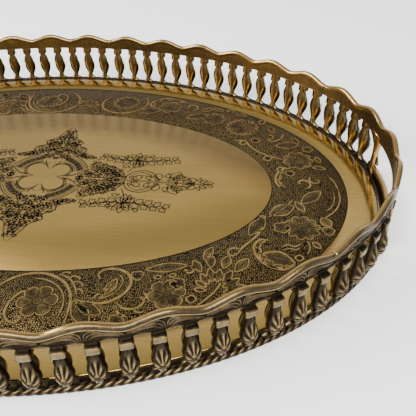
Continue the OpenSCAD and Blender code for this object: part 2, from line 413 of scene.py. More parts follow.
def plume(points, lobes, reach, side, width=1.8):
    """An acanthus scroll: a strong main line with short curled lobes along one side."""
    spine = smooth_line(points, 5)
    motif = [(spine, width, LINE)]
    for k in range(lobes):
        i = int((0.1 + 0.8 * k / max(1, lobes - 1)) * (len(spine) - 2))
        along = spine[i + 1] - spine[i]
        along = along / np.hypot(*along)
        out = side * np.array([-along[1], along[0]])
        long = reach * math.sin(math.pi * (k + 1) / (lobes + 1)) ** 0.5
        tip = spine[i] + out * long + along * long * 0.9
        hook = tip + along * long * 0.3 - out * long * 0.25
        waist = spine[i] + out * long * 0.65 + along * long * 0.1
        motif.append((smooth_line([spine[i], waist, tip, hook], 3), 1.3, LINE))
    return motif


def stem(points, width=1.4):
    return [(smooth_line(points, 4), width, LINE)]


def joined(*motifs):
    return [bit for motif in motifs for bit in motif]


def spray(x, y, leaves):
    """Drop leaves that spread from one place: each is its angle, distance, length and half-width."""
    motif = []
    for angle, away, length, half in leaves:
        a = math.radians(angle)
        motif += placed(drop_leaf(length, half), x + away * math.cos(a), y + away * math.sin(a), angle)
    return motif


# Near end of the right half: everything the band holds from the short axis to the long one
near_band = joined(
    stem([(69, -160), (68, -146), (66, -135), (59, -124), (49, -118), (38, -116), (26, -119),
        (17, -126), (12, -136), (12, -148), (17, -158), (25, -165)], 2.0),
    stem([(62, -158), (63.5, -146), (61, -135), (54, -126.5), (45, -122), (36, -121)], 0.9),
    stem([(38, -131), (31, -135), (27, -143), (27, -152), (31, -158), (37, -160), (39, -156),
        (36, -154)], 1.6),
    placed(flower(6, 13.5, 3.4, rays=3), 45, -141, 12),
    plume([(52, -116), (60, -119), (66, -126), (70, -134)], 4, 5.5, 1, 1.2),
    plume([(69, -137), (80, -139.5), (91, -138), (100, -131), (104, -121), (101, -112), (93, -107.5),
        (84, -108), (79.5, -113), (82, -118)], 0, 1, 1, 2.0),
    stem([(79, -135.5), (89, -134), (96, -127), (98, -118), (94, -112)], 0.9),
    placed(drop_leaf(17, 3.4), 88, -133, 72),
    plume([(83, -136), (90, -131), (94, -123)], 3, 4, 1, 0.9),
    placed(flower(3, 4.5, 1.0, rays=0), 107, -112, 40),
    placed(feather(24, 5.5, 6), 69, -139, -52),
    placed(feather(20, 4.5, 5), 71, -141, -20),
    stem([(97, -138), (101, -146), (108, -149)], 1.5),
    plume([(97, -137), (104, -142), (112, -141), (116, -135), (113, -131)], 3, 4.5, -1, 1.4),
    placed(flower(5, 5.0, 1.4, rays=0), 101, -152, 0),
    placed(flower(6, 13.0, 2.4, rays=3), 130, -127, 20),
    placed(flower(5, 5.5, 1.2, rays=1), 136, -117, 50),
    placed(feather(29, 4.2, 7), 112, -106, 14),
    placed(curl(4.6, 250, 1.5), 142, -99, 0, 1, True),
    placed(drop_leaf(5, 1.8, 0.9, False), 119, -113, 15),
    placed(drop_leaf(5, 1.8, 0.9, False), 129, -110, 10),
    stem([(150, -137), (156, -130), (162, -122), (166, -113), (168, -106)], 1.5),
    spray(162, -122, [(148, 7, 9, 2.2), (125, 8, 11, 2.6), (104, 9, 13, 3.0), (84, 9, 12, 2.8),
        (62, 9, 14, 3.2), (40, 7, 14, 3.0), (20, 8, 13, 2.6), (176, 6, 8, 1.9), (2, 6, 9, 2.0),
        (-24, 6, 8, 1.8), (100, 23, 13, 3.4), (78, 23, 13, 3.6), (57, 24, 16, 4.2), (122, 21, 12, 3.2)]),
    placed(flower(4, 3.4, 1.0, rays=0), 147, -130, 0),
    placed(drop_leaf(14, 3.2, 1.0), 152, -92, 70),
    placed([(np.array([(0, 0), (1.6, 1), (3.4, 1.2)]), 0.8, LINE)], 155, -88, 60),
    stem([(176, -84), (179, -77), (185, -69), (191, -60), (194, -52)], 1.8),
    placed(curl(6.0, 290, 1.8), 178, -80, 120),
    placed(feather(24, 5.6, 8), 184, -62, 62),
    placed(curl(3.2, 240, 1.2), 196, -42, 60),
    plume([(199, -67), (192, -67), (187.5, -75), (190, -85), (197, -93), (208, -97),
        (217, -93)], 7, 6.0, 1, 2.0),
    placed(feather(26, 8.5, 7, 1.5), 192, -84, -14),
    plume([(208, -74), (213, -70.5), (218, -72), (223, -69)], 0, 1, 1, 1.6),
    plume([(209, -77), (214, -74.5), (219, -75.5), (222, -73)], 0, 1, 1, 1.0),
    placed(flower(10, 14.0, 4.2, rays=2), 225, -50, 8),
    placed(flower(5, 6.5, 2.0, rays=1), 209, -51, 0),
    stem([(228, -65), (229.5, -72), (227, -80)], 1.3),
    placed(drop_leaf(8, 2.4), 232, -66, -50),
    placed(flower(4, 3.0, 0.9, rays=0), 221, -84, 0),
    placed(feather(23, 6.5, 6, 1.3), 200, -36, 34),
    placed(drop_leaf(14, 3.2, 1.2), 221, -17, -62),
    stem([(199, -39), (206, -33), (213, -24), (219, -15)], 1.3),
    stem([(258.5, 2), (258, -12), (254, -24), (247, -33), (241, -38)], 1.5),
    stem([(254, 0), (253.5, -12), (250, -22), (245, -28)], 1.0),
    placed(drop_leaf(12, 4.4, 1.2), 241, -36, -60),
    placed(flower(3, 5.0, 1.2, rays=0), 245, -52, 30),
    placed(curl(8.0, 250, 1.9), 231, 2, 20),
    placed(feather(25, 5.5, 8), 226, -19, 48),
)

# Far end of the right half: the other arrangement
far_band = joined(
    placed(flower(16, 16.5, 6.0, rays=0), 172, 103, 5),
    placed(flower(9, 14.0, 3.5, rays=2), 226, 46, 0),
    stem([(166, 76), (175, 77), (181, 67), (190, 57), (200, 51), (212, 46)], 1.8),
    placed(curl(5.0, 260, 1.5), 177, 76, 150),
    placed(flower(3, 4.6, 1.2, rays=0), 186, 78, 0),
    placed(curl(7.0, 220, 1.7), 193, 84, -60),
    stem([(193, 84), (203, 78), (211, 84), (214, 95)], 1.6),
    placed(drop_leaf(13, 3.4), 203, 94, 100),
    placed(feather(22, 6.0, 7), 206, 70, 10),
    placed(drop_leaf(12, 3.2), 190, 110, 70),
    placed(flower(4, 4.0, 1.0, rays=0), 198, 47, 20),
    plume([(208, 2), (205, 11), (206, 21), (212, 31), (214, 34)], 4, 5.5, -1, 1.8),
    stem([(214, 2), (208, 9), (209, 20), (213, 30)], 1.0),
    placed(curl(4.2, 250, 1.4), 212, 32, 140),
    placed(flower(4, 4.2, 1.1, rays=0), 218, 24, 15),
    placed(drop_leaf(11, 3.0), 239, 36, -10),
    placed(curl(6.5, 240, 1.6), 236, 20, -140),
    plume([(252, 22), (256, 14), (258.5, 2)], 0, 1, 1, 1.5),
    placed(flower(8, 12.0, 3.2, rays=2), 142, 118, 0),
    placed(feather(24, 6.0, 7), 112, 118, 18),
    placed(curl(8.0, 260, 1.8), 118, 134, 20),
    placed(drop_leaf(14, 3.4), 128, 134, 34),
    placed(drop_leaf(12, 3.0), 150, 136, 150),
    placed(flower(6, 12.5, 3.2, rays=2), 92, 140, 15),
    placed(feather(25, 6.0, 7), 58, 128, 8),
    plume([(110, 150), (98, 158), (84, 160), (72, 152), (70, 142), (78, 136)], 5, 5.0, 1, 1.9),
    placed(flower(10, 14.5, 4.2, rays=2), 42, 146, 0),
    plume([(62, 160), (66, 148), (62, 134), (50, 124), (34, 122), (20, 130), (16, 144),
        (22, 158)], 0, 1, 1, 2.0),
    placed(spray(0, 0, [(60, 4, 12, 3.0), (90, 4, 14, 3.2), (120, 4, 12, 3.0), (30, 4, 10, 2.6),
        (150, 4, 10, 2.6)]), 0, 132),
    placed(drop_leaf(12, 3.0), 228, 76, 120),
    placed(flower(5, 5.0, 1.4, rays=0), 236, 66, 0),
    placed(drop_leaf(10, 2.6), 246, 44, 110),
    placed(drop_leaf(12, 3.0), 176, 128, 165),
    placed(curl(5.0, 260, 1.4), 160, 132, 30),
)

# The other half of the band is the same work turned end for end
band_parts = []
for motif in (near_band, far_band):
    for half_turn in (0, 180):
        for line, width, kind in placed(motif, 0, 0, half_turn):
            if kind.startswith(CUT_IN):
                band_parts.append(cut_in(line, width, kind != CUT_IN))
            else:
                band_parts.append(ridge(line, width, LINE_FOOT, LINE_TOP, kind != LINE,
                    filled=kind == FILLED))
band_verts, band_faces, band_finish = gathered(band_parts)


def worn_brass(name, dull, bright):
    """The tops of the chasing, rubbed bright by polishing, with dirt left on the broader ones."""
    return grained_metal(name, 150, 5.0, [(0.35, dull), (0.65, bright)], 0.36, 0.0002, 0.3)


WORN_BRASS = worn_brass("worn_line_brass", (0.27, 0.178, 0.058), (0.46, 0.305, 0.10))
PETAL_BRASS = worn_brass("worn_petal_brass", (0.055, 0.038, 0.017), (0.20, 0.137, 0.05))
band_mesh = build_mesh("chased_band", band_verts, band_faces, band_finish, smooth=False)
add_piece("chased_band", band_mesh, [WORN_BRASS, CUT_LINE, PETAL_BRASS])

# ---------------------------------------------------------------- the engraved medallion
# The middle of the pan is engraved, not punched: a plain four-lobed shield in a hatched
# border, with arms of scrolls and leaves along both axes and two hanging garlands a side.
ENGRAVED_TOP = PAN_FACE + 0.035
ENGRAVED_FOOT = PAN_FACE - 0.02
CUT_WEIGHT = 1.12
engraving = []


def engraved(points, width=0.8, steps=3, closed=False):
    engraving.append((smooth_line(points, steps, closed), width * CUT_WEIGHT, closed))


def arc(x, y, radius, start, end, count=9):
    a = np.radians(np.linspace(start, end, count))
    return np.stack([x + radius * np.cos(a), y + radius * np.sin(a)], 1)


def little_scroll(x, y, radius, angle, flip=False):
    """A small engraved scroll with its eye and a leaf at its back."""
    for line, width, _ in placed(curl(radius, 330, 1.0, False), x, y, angle, 1, flip):
        engraving.append((line, width * CUT_WEIGHT, False))
    little_leaf(x, y, angle + 180, radius * 0.9, radius * 0.3)


def little_leaf(x, y, angle, length=5.0, half=1.7):
    for line, width, kind in placed(drop_leaf(length, half, 0.95, length > 5.5), x, y, angle):
        engraving.append((line, width * CUT_WEIGHT, kind in (RING, FILLED)))


def ivy_leaf(x, y, angle, length):
    """A five-pointed leaf with a vein down its middle."""
    side = [(0.12, 0.34), (0.34, 0.22), (0.5, 0.46), (0.68, 0.2)]
    outline = [(0, 0)] + side + [(1, 0)] + [(u, -v) for u, v in reversed(side)]
    leaf = [(np.array(outline) * length, 1.25, RING), (np.array([(0.15, 0), (0.7, 0)]) * length, 0.6, LINE)]
    for line, width, kind in placed(leaf, x, y, angle):
        engraving.append((line, width * CUT_WEIGHT, kind == RING))


# The plain shield: four round lobes that meet in leaf points
engraved(arc(10.6, 10.2, 9.6, -62, 150, 14), 1.3, 2)
engraved(arc(10.6, 10.2, 11.2, -58, 147, 14), 0.7, 2)
for points in ([(26, 3.4), (20, 2.6), (15, 1.6), (10.5, 0.2)],
    [(7.0, 25), (5.6, 20), (3.4, 16), (0.2, 11.5)]):
    engraved(points, 0.9)
engraved([(22, 5.2), (18.5, 3.4), (21, 0.6)], 0.7)
engraved([(8.0, 24), (4.6, 19.5), (1.0, 23)], 0.7)
# Hatched border: a broad band on each diagonal between two pairs of lines
for radius, width in ((24.5, 1.1), (26.4, 0.8), (36.0, 0.8), (38.0, 1.2)):
    engraved(arc(0, 0, radius, 19, 70, 12), width, 2)
for k in range(17):
    a = math.radians(21.5 + 46.5 * k / 16)
    ends = [(r * math.cos(a + 0.03 * bend), r * math.sin(a + 0.03 * bend))
        for r, bend in ((27.5, -1), (31, 1), (35, -1))]
    engraved(ends, 1.3, 2)
for k in range(6):
    a = math.radians(24 + 42 * k / 5)
    engraved(arc(31.3 * math.cos(a), 31.3 * math.sin(a), 1.7, 0, 330, 9), 0.9, 1)
# Points of the border on the two axes
engraved([(16, 0.8), (24, 3.5), (31, 9.5), (36, 13), (43, 12), (49, 7), (55, 0.8)], 1.1)
engraved([(27, 0.6), (33, 4), (38, 7.5), (43, 6.5), (47, 3)], 0.8)
# The spire across the tray
engraved([(1.2, 86), (4.5, 79), (7.5, 72), (9.5, 66), (13.5, 62), (18.5, 58.5), (16.5, 53), (21, 49),
    (25, 46.5), (24.5, 41), (29, 38), (36, 34), (41, 29.5)], 1.2)
engraved([(0.6, 82), (3, 75), (5, 68), (7, 62)], 0.8)
SPIRE = [(0, 84), (6, 71), (9, 64.5), (17, 57.5), (15.5, 53), (20, 48), (23.5, 45.5), (23.5, 40.5),
    (38, 31), (28, 28.5), (20, 34), (10, 38.5), (0, 39.5)]
ARM = [(39, 30), (44.5, 23.5), (58, 18.5), (63.5, 15), (68.5, 9.5), (71, 3), (71, 0.8), (56, 0.8), (50, 8),
    (43, 13), (39, 16), (37, 22)]
SPIRE_FOOT = [(0, 25.5), (7.5, 26.5), (13, 35), (10, 39.5), (0, 40.5)]
COLLAR = [(41, 11), (48, 6.5), (53, 1), (28, 1), (32, 8.5), (36.5, 11.5)]


def within(outline, x, y):
    """Whether a place lies inside a closed outline."""
    inside = False
    for (ax, ay), (bx, by) in zip(outline, outline[1:] + outline[:1]):
        if (ay > y) != (by > y) and x < (bx - ax) * (y - ay) / (by - ay) + ax:
            inside = not inside
    return inside


def arabesque(outline, spacing, reach):
    """Fills an outline with linked scrolls and leaves, turned a little from one to the next."""
    for row in range(int(90 / spacing)):
        for col in range(int(90 / spacing)):
            x = (col + 0.5 * (row % 2) + 0.25) * spacing
            y = (row + 0.35) * spacing * 0.9
            if within(outline, x, y):
                turn = (row * 77 + col * 131) % 360
                if (row + col) % 3:
                    little_scroll(x, y, reach, turn, (row + col) % 2 == 0)
                else:
                    little_leaf(x, y, turn, reach * 1.9, reach * 0.55)
                engraved([(x, y), (x + 0.45 * spacing, y + 0.4 * spacing),
                    (x + 0.8 * spacing, y + 0.3 * spacing)], 0.7, 2)


def hatched(outline, spacing):
    """Fine straight shading cut across an outline, behind its scrolls."""
    for k in range(int(90 / spacing)):
        x = (k + 0.5) * spacing
        inside = [y for y in np.arange(0.4, 90, 0.8) if within(outline, x, y)]
        runs = np.split(inside, np.where(np.diff(inside) > 1.0)[0] + 1) if inside else []
        for run in runs:
            if len(run) > 1:
                engraving.append((np.array([(x, run[0]), (x, run[-1])]), HATCH_WIDTH, False))


HATCH_WIDTH, HATCH_SPACING = 0.34, 1.15
for outline in (SPIRE, SPIRE_FOOT, ARM, COLLAR):
    hatched(outline, HATCH_SPACING)
arabesque(SPIRE_FOOT, 3.9, 2.0)
arabesque(SPIRE, 3.7, 2.2)
# The arm along the tray: arabesque, vase, scrolls and a leaf point
engraved([(41, 29.5), (45, 24.5), (52, 21.5), (58, 19.5), (64, 16), (69, 10.5), (72, 4), (72, 0.6)], 1.2)
engraved([(44, 21), (51, 17.5), (58, 15), (64, 11), (68, 5)], 0.8)
arabesque(ARM, 3.7, 2.2)
arabesque(COLLAR, 4.1, 2.0)
engraved([(55, 0.8), (75, 0.7), (101, 0.7), (118, 0.6), (132, 0.6), (150, 0.4)], 0.7)
engraved([(72, 1), (73.5, 7.5), (77, 12.5), (83, 15.8), (90, 16), (96, 12.5), (100.5, 6.5), (103, 1)], 1.2)
engraved([(76, 6), (80, 11), (86, 13), (92, 11.5), (96.5, 6.5)], 0.7)
engraved([(84, 14.5), (92, 11), (99, 6.5), (106, 2)], 0.7)
engraved([(75.5, 2.5), (83, 8.5), (94, 7.5), (102, 2.5)], 0.7)
little_scroll(84, 2.0, 4.0, 10)
little_scroll(92.5, 3.0, 3.2, 170, True)
little_scroll(79.5, 3.5, 2.6, 60)
for x, y, r, a in ((103, 4.5, 5.0, 30), (109, 12.5, 3.2, 200), (113, 3.0, 3.2, 0), (134, 2.2, 4.4, 40),
    (138, 8.0, 2.4, 190), (119, 2.2, 2.6, 60)):
    little_scroll(x, y, r, a)
for x, y, a, l in ((112, 6, 50, 13), (114, 5, 24, 12), (118, 6.5, 60, 8), (120, 6, 12, 9),
    (124, 1.8, 28, 8), (128, 1.0, 6, 6), (139, 2.2, 34, 7), (142, 1.2, 10, 9)):
    little_leaf(x, y, a, l, l * 0.3)
# The garland beside the arm: a chain of leaves, fullest where it hangs
engraved([(72, 12), (74.5, 17), (77, 24), (77.5, 31)], 1.0)
engraved([(43, 38.5), (52, 36), (62, 32.5), (70, 31), (77, 32.5), (84, 31), (93, 32.5), (103, 35.5),
    (113, 33)], 0.9)
for k in range(9):
    x = 46 + 8.0 * k
    middle = 1 - abs(x - 78) / 38
    y = 31.5 + 6.0 * (1 - middle) ** 1.5
    heading = 180 if x < 78 else 0
    size = 8.5 * (0.8 + 0.3 * middle)
    ivy_leaf(x, y, heading + 50, size)
    ivy_leaf(x + 2.5, y - 0.5, heading - 46, size)
for a, length in ((90, 13), (55, 12), (125, 12), (-90, 12), (-50, 9), (-130, 9)):
    little_leaf(77.5, 32, a, length, 3.0)
for x, y, r, a in ((71, 22.5, 3.0, 120), (83, 22.5, 3.0, 20), (66, 39, 2.6, 200), (89, 39, 2.6, -30)):
    little_scroll(x, y, r, a)
engraved_parts = []
for sx, sy in ((1, 1), (-1, 1), (-1, -1), (1, -1)):
    for line, width, closed in engraving:
        engraved_parts.append(ridge(line * (sx, sy), width, ENGRAVED_FOOT, ENGRAVED_TOP, closed, 0.06))
engraved_verts, engraved_faces, _ = gathered(engraved_parts)
engraved_mesh = build_mesh("engraved_medallion", engraved_verts, engraved_faces, smooth=False)
ENGRAVED_LINE = cut_line("engraved_line_oxide", (0.048, 0.034, 0.015), (0.10, 0.071, 0.03))
add_piece("engraved_medallion", engraved_mesh, [ENGRAVED_LINE])

# ---------------------------------------------------------------- the gallery castings
# Six sand castings make the gallery: four sides of fifteen balusters, and two ends with a
# hand hole. Each holds its scalloped rail, its balusters and its rope foot in one piece.
CASTINGS = 6
PITCHES = 15
JOINT_GAP = 1.2
GALLERY_SHIFT = -11.2
WALL_IN, WALL_OUT = 3.0, 6.9
RAIL_LOW = PAN_FACE + 37.2
TROUGH = PAN_FACE + 47.0
CREST = PAN_FACE + 52.3
HAND_LOW = PAN_FACE + 33.0
HAND_HALF = 2.2
HAND_BULGE = 0.35
# The rail's foot dips over a hand hole: how far past the hole, and over what share of a pitch
DIP_MARGIN, DIP_BLEND = 0.55, 0.25
HAND_SILL = PAN_FACE + 8.0
LEDGE = PAN_FACE + 0.4

fine_turns = np.linspace(0, 2 * math.pi, 7201)
wall_line = np.stack(oval_point(fine_turns, (WALL_IN + WALL_OUT) / 2), 1)
wall_lengths = np.concatenate([[0], np.cumsum(np.hypot(*np.diff(wall_line, axis=0).T))])
ROUND = wall_lengths[-1]
PITCH = (ROUND / CASTINGS - JOINT_GAP) / PITCHES
HALF_CASTING = PITCHES * PITCH / 2
# The rail and the foot run on to a hairline at each soldered joint
RAIL_END = HALF_CASTING + JOINT_GAP / 2 - 0.06
SCALLOPS = 6
SCALLOP = PITCHES * PITCH / SCALLOPS
SCALLOP_FULLNESS = 0.8


def turn_at(length):
    whole = np.floor(np.asarray(length) / ROUND)
    return np.interp(length - whole * ROUND, wall_lengths, fine_turns) + 2 * math.pi * whole


def on_gallery(length, out, height):
    """Places on the gallery, by length round the wall, distance outside the pan's edge, and height."""
    length, out, height = np.broadcast_arrays(length, out, height)
    x, y = oval_point(turn_at(length), out)
    return np.stack([x, y, height], -1)


def casting_middle(k):
    return GALLERY_SHIFT + k * ROUND / CASTINGS


# The rail's section, round from its inner foot: distance out, height, whether the height is
# measured from the scallop (1) or from the rail's foot (0), and how worn it is
RAIL_SECTION = [
    (3.05, 0.25, 0, 0.48), (3.0, 0.8, 0, 0.34), (3.0, 4.0, 0, 0.30), (3.0, -4.8, 1, 0.32),
    (3.0, -3.7, 1, 0.34), (2.65, -3.0, 1, 0.42),
    (2.6, -2.2, 1, 0.50), (2.9, -1.3, 1, 0.56), (3.5, -0.5, 1, 0.66), (4.3, -0.08, 1, 0.74),
    (5.0, 0.0, 1, 0.72), (5.9, -0.25, 1, 0.56), (6.7, -0.9, 1, 0.34),
    (7.15, -1.8, 1, 0.22), (7.15, -2.7, 1, 0.08), (6.8, -3.3, 1, 0.1), (6.35, -3.55, 1, 0.0),
    (6.55, -3.9, 1, 0.35), (6.75, -4.35, 1, 0.65),
    (6.55, -4.8, 1, 0.4), (5.9, -5.1, 1, 0.0), (5.5, -5.8, 1, 0.0), (5.4, 2.6, 0, 0.0),
    (5.6, 1.6, 0, 0.03), (6.2, 0.9, 0, 0.15), (6.65, 0.35, 0, 0.4),
    (6.6, 0.0, 0, 0.35), (5.0, -0.1, 0, 0.3), (3.3, -0.05, 0, 0.5)]
RAIL_STEPS = 10
# The foot's section: ledge, rope core and flat underside
ROPE_OUT, ROPE_HEIGHT, ROPE_RADIUS = 5.8, 2.85, 2.6
rope_round = [(ROPE_OUT + ROPE_RADIUS * math.cos(math.radians(a)),
    ROPE_HEIGHT + ROPE_RADIUS * math.sin(math.radians(a))) for a in range(98, -90, -20)]
FOOT_SECTION = [(0.7, 2.7, 0.0), (0.7, 5.0, 0.10), (1.0, 5.3, 0.30), (1.8, 5.4, 0.12), (2.6, 5.35, 0.08),
    (3.6, 5.3, 0.05), (4.7, 5.2, 0.05)]
FOOT_SECTION += [(o, z, 0.0) for o, z in rope_round] + [(4.4, 0.15, 0.0), (3.4, 0.3, 0.0), (3.2, 2.7, 0.0)]


class Bits:
    """Bits of one casting, with how worn each vertex is (on the balusters' sides, partly painted shade) and
    how far it follows the scallops.
    """

    def __init__(self):
        self.verts, self.faces, self.worn, self.rise, self.along, self.count = [], [], [], [], [], 0

    def add(self, verts, faces, worn, rise=0.0, along=0.0):
        verts = np.asarray(verts, float).reshape(-1, 3)
        n = len(verts)
        self.verts.append(verts)
        self.faces += [tuple(self.count + i for i in face) for face in faces]
        for store, value in ((self.worn, worn), (self.rise, rise), (self.along, along)):
            store.append(np.broadcast_to(np.asarray(value, float).reshape(-1), (n,)))
        self.count += n


def swept(rows, columns):
    """Faces of a closed section carried along, with both its ends closed."""
    faces = []
    for i in range(rows - 1):
        for j in range(columns):
            k = (j + 1) % columns
            faces.append((i * columns + j, (i + 1) * columns + j, (i + 1) * columns + k, i * columns + k))
    faces.append(tuple(range(columns)))
    faces.append(tuple(range(rows * columns - 1, (rows - 1) * columns - 1, -1)))
    return faces


def add_rail(bits, mid, handle):
    along = np.linspace(-RAIL_END, RAIL_END, PITCHES * RAIL_STEPS + 1)
    deep = np.zeros(len(along))
    if handle:
        deep = np.clip(((HAND_HALF + DIP_MARGIN) * PITCH - np.abs(along)) / (DIP_BLEND * PITCH), 0, 1)
    low = RAIL_LOW + (HAND_LOW - RAIL_LOW) * deep * deep * (3 - 2 * deep)
    rows = []
    for out, up, from_top, worn in RAIL_SECTION:
        rows.append(on_gallery(mid + along, out, (TROUGH if from_top else low) + up))
    verts = np.stack(rows, 1)
    n = len(RAIL_SECTION)
    worn = np.tile([r[3] for r in RAIL_SECTION], len(along))
    rise = np.tile([float(r[2]) for r in RAIL_SECTION], len(along))
    bits.add(verts, swept(len(along), n), worn, rise, np.repeat(along, n))


def add_foot(bits, mid):
    along = np.linspace(-RAIL_END, RAIL_END, PITCHES * 4 + 1)
    verts = np.stack([on_gallery(mid + along, o, z) for o, z, _ in FOOT_SECTION], 1)
    bits.add(verts, swept(len(along), len(FOOT_SECTION)),
        np.tile([w for *_, w in FOOT_SECTION], len(along)))


def scallop_top(along):
    """Height of the rail's top, the same rule that the rail's tree follows."""
    wave = 0.5 - 0.5 * np.cos(2 * math.pi * along / SCALLOP)
    return TROUGH + (CREST - TROUGH) * wave**SCALLOP_FULLNESS


# Distances out of the leaves' foot and top, and the plain margins of the band that holds them
LEAF_FOOT, LEAF_TOP = 5.2, 6.2
LEAVES_ABOVE_FOOT, LEAVES_BELOW_TOP = 1.5, 5.9
# Flat leaves on the outside of the rail, from each neck towards the troughs. Heights are shares of the band
BAND_LEAVES = [
    ([(0.10, 0.02), (0.16, 0.40), (0.36, 0.72), (0.66, 0.80), (0.98, 0.66), (1.20, 0.45)], 1.15),
    ([(0.14, 0.02), (0.34, 0.30), (0.62, 0.44), (0.90, 0.38), (1.08, 0.22)], 1.0),
    ([(0.04, 0.10), (0.07, 0.55), (0.20, 0.88), (0.40, 0.98)], 1.0),
    ([(0.30, 0.52), (0.44, 0.62), (0.58, 0.62)], 0.8),
    ([(0.56, 0.62), (0.72, 0.66), (0.86, 0.58)], 0.8)]


def add_band_leaves(bits, mid, handle):
    for k in range(SCALLOPS):
        crest = (k - (SCALLOPS - 1) / 2) * SCALLOP
        for side in (-1, 1):
            for points, width in BAND_LEAVES:
                line = smooth_line([(side * x * PITCH, share) for x, share in points], 3)
                along = crest + line[:, 0]
                low = HAND_LOW if handle and abs(crest) < HAND_HALF * PITCH else RAIL_LOW
                low, high = low + LEAVES_ABOVE_FOOT, scallop_top(along) - LEAVES_BELOW_TOP
                line = np.stack([line[:, 0], low + line[:, 1] * (high - low)], 1)
                verts, faces, _ = ridge(line, width * 0.72, LEAF_FOOT, LEAF_TOP, False, 0.55)
                placed_verts = on_gallery(mid + crest + verts[:, 0], verts[:, 2], verts[:, 1])
                bits.add(placed_verts, faces, np.where(verts[:, 2] > LEAF_TOP - 0.2, 0.30, 0.0))


def add_plate(bits, outline, mid, inner, outer, worn_in, worn_edge, worn_out):
    """A flat shape standing in the wall, drawn as (length, height), bent to the gallery."""
    p = np.asarray(outline, float)
    n = len(p)
    inset = p + 0.25 * np.sign(p.mean(0) - p)
    loops = [(p, inner + 0.2, worn_edge), (inset, inner, worn_in), (p, outer - 0.3, worn_edge),
        (inset, outer, worn_out)]
    verts = np.concatenate([on_gallery(mid + q[:, 0], o, q[:, 1]) for q, o, _ in loops])
    worn = np.repeat([w for *_, w in loops], n)
    faces = [tuple(range(n, 2 * n)), tuple(range(4 * n - 1, 3 * n - 1, -1))]
    for i in range(n):
        j = (i + 1) % n
        faces += [(i, j, n + j, n + i), (2 * n + j, 2 * n + i, 3 * n + i, 3 * n + j),
            (j, i, 2 * n + i, 2 * n + j)]
    bits.add(verts, faces, worn)


def add_strip(bits, mid, half, inner, outer, z0, z1, worn_top):
    """A low wall along the gallery with rounded upper edges."""
    section = [(inner, z0), (inner, z1 - 0.5), (inner + 0.4, z1), (outer - 0.6, z1), (outer, z1 - 0.7),
        (outer, z0)]
    along = np.linspace(-half, half, 25)
    verts = np.stack([on_gallery(mid + along, o, z) for o, z in section], 1)
    worn = np.tile([0.4, 0.6, worn_top, worn_top, 0.4, 0.1], len(along))
    bits.add(verts, swept(len(along), len(section)), worn)


def add_relief(bits, mid, line, width, foot, top, slope, worn):
    """A raised line on the outside of the wall, rubbed along its top."""
    verts, faces, _ = ridge(line, width, WALL_OUT + foot, WALL_OUT + top, False, slope)
    bits.add(on_gallery(mid + verts[:, 0], verts[:, 2], verts[:, 1]), faces,
        np.where(verts[:, 2] > WALL_OUT, worn, 0.05))


def add_hand_hole(bits, mid):
    """Curved posts each side of the hand hole, the low wall under it, and its leaf work outside."""
    hole, outer = HAND_HALF * PITCH, (HAND_HALF + 0.75) * PITCH
    low, high = PAN_FACE - 0.4, HAND_LOW + 3.0
    add_strip(bits, mid, outer, WALL_IN + 0.3, WALL_OUT - 0.3, low, HAND_SILL, 0.85)
    t = np.linspace(0, 1, 13)
    for side in (-1, 1):
        curve = [(hole + HAND_BULGE * PITCH * math.sin(math.pi * s), low + (high - low) * s) for s in t]
        flare = [0.78 * max(0.0, 1 - s * 2.6) ** 1.8 - 0.18 * math.sin(math.pi * s) ** 0.8 for s in t]
        back = [(outer + f * PITCH, high + 2.5 - (high + 2.5 - low) * s) for f, s in zip(flare, t)]
        outline = [(side * x, z) for x, z in curve + back]
        add_plate(bits, outline[::side], mid, WALL_IN + 0.1, WALL_OUT, 0.5, 0.7, 0.25)
        for points, width in (
            ([(2.35, 9), (2.62, 15), (2.68, 21), (2.55, 28), (2.3, 33)], 2.2),
            ([(2.7, 8), (2.85, 13), (2.82, 18)], 1.4),
            ([(2.75, 31), (2.84, 26), (2.80, 21)], 1.4), ([(3.0, 33.5), (3.25, 35.2), (3.5, 35.8)], 1.4)):
            line = smooth_line([(side * x * PITCH, PAN_FACE + z) for x, z in points], 3)
            add_relief(bits, mid, line, width, -0.4, 1.1, 0.5, 0.7)
    # A row of shell leaves on the low wall
    for k in range(-4, 5):
        for bend in (-1, 0, 1):
            line = smooth_line([(k * 0.5 * PITCH + bend * x, PAN_FACE + z)
                for x, z in ((0, 2.4), (2.2, 4.6), (3.4, 6.6))], 3)
            add_relief(bits, mid, line, 1.3, -0.6, 0.7, 0.4, 0.6)


# Lugs under the pan, drilled for its studs
LUG_TOP, LUG_FOOT = PAN_RIM_FOOT, PAN_RIM_FOOT - 1.2
STUDS_PER_CASTING = 4
STUD_IN = 7.0
STUD_HOLE = 1.65
LUG_HALF, LUG_ROOT = 4.5, 10.0


def add_lugs(bits, mid):
    for i in range(STUDS_PER_CASTING):
        along = mid + ((i + 0.5) / STUDS_PER_CASTING - 0.5) * 2 * HALF_CASTING
        corners, hole = [], []
        for a in np.radians(np.arange(0, 360, 15)):
            c, s = math.cos(a), math.sin(a)
            reach = min(LUG_HALF / max(abs(c), 1e-6), (LUG_ROOT if s > 0 else LUG_HALF) / max(abs(s), 1e-6))
            corners.append((reach * c, reach * s - STUD_IN))
            hole.append((STUD_HOLE * c, STUD_HOLE * s - STUD_IN))
        n = len(hole)
        loops = [(corners, LUG_TOP), (hole, LUG_TOP), (hole, LUG_FOOT), (corners, LUG_FOOT)]
        loops = [(np.array(p).T, z) for p, z in loops]
        verts = np.concatenate([on_gallery(along + x, out, z) for (x, out), z in loops])
        faces = []
        for ring_a in range(4):
            ring_b = (ring_a + 1) % 4
            for j in range(n):
                m = (j + 1) % n
                faces.append((ring_a * n + j, ring_a * n + m, ring_b * n + m, ring_b * n + j))
        bits.add(verts, faces, 0.15)


